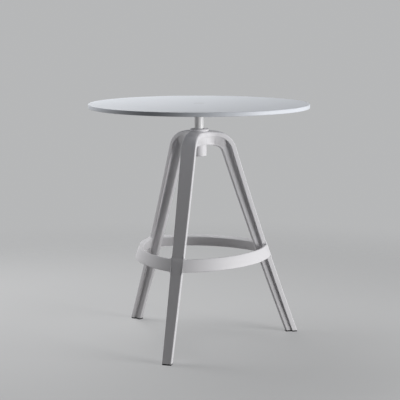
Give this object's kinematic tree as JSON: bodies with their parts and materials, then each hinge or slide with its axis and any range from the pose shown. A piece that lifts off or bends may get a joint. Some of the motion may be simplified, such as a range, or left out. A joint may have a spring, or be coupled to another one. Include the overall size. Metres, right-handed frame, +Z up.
{
  "type": "round dining table",
  "caption": "Round table with a thin disc top on a screw spindle that raises it, carried by splayed cast legs of T section tied together by a flaring ring band.",
  "frame": {"origin": "on the floor, on the axis of the round top and its post", "axes": "+Z up; the front leg points along -Y, and the other legs stand 120 degrees round to each side of it"},
  "size_m": [0.7, 0.7, 0.762],
  "materials": {
    "top_sheet": "satin",
    "cap_lacquer": "satin",
    "frame_coat": "matte",
    "post_coat": "satin",
    "bronze": "satin",
    "guide_plastic": "satin",
    "seal_rubber": "matte",
    "plug_plastic": "matte",
    "glide_pad": "matte",
    "zinc_steel": "satin"
  },
  "bodies": {
    "base": {"leg_front": "frame_coat", "leg_left": "frame_coat", "leg_right": "frame_coat", "ring_front_right": "frame_coat", "ring_back": "frame_coat", "ring_front_left": "frame_coat", "hub_sleeve": "frame_coat", "boss_nut": "frame_coat", "lift_nut": "bronze", "thrust_washer": "guide_plastic", "wiper_ring": "seal_rubber", "end_plug": "plug_plastic", "collar_screws": "zinc_steel", "boss_grub_screw": "zinc_steel", "hub_dowels": "zinc_steel", "ring_dowels": "zinc_steel", "ring_grub_screws": "zinc_steel", "glide_front": "glide_pad", "glide_left": "glide_pad", "glide_right": "glide_pad"},
    "carriage": {"guide_bush": "guide_plastic"},
    "top": {"tabletop": "top_sheet", "centre_cap": "cap_lacquer", "top_flange": "frame_coat", "flange_screws": "zinc_steel", "top_inserts": "zinc_steel", "spindle": "post_coat", "spindle_bolt": "zinc_steel", "spindle_pin": "zinc_steel", "stop_washer": "zinc_steel", "stop_screw": "zinc_steel"}
  },
  "joints": [
    {"name": "top_lift", "type": "slide", "parent": "base", "child": "carriage", "axis": [0, 0, 1], "range_m": [0, 0.036]},
    {"name": "top_turn", "type": "hinge", "parent": "carriage", "child": "top", "pos_m": [0, 0, 0.68], "axis": [0, 0, 1], "range_deg": [0, 2160]}
  ],
  "couplings": [
    {"joint": "top_lift", "follows": "top_turn", "m_per_rad": 0.00095493}
  ]
}
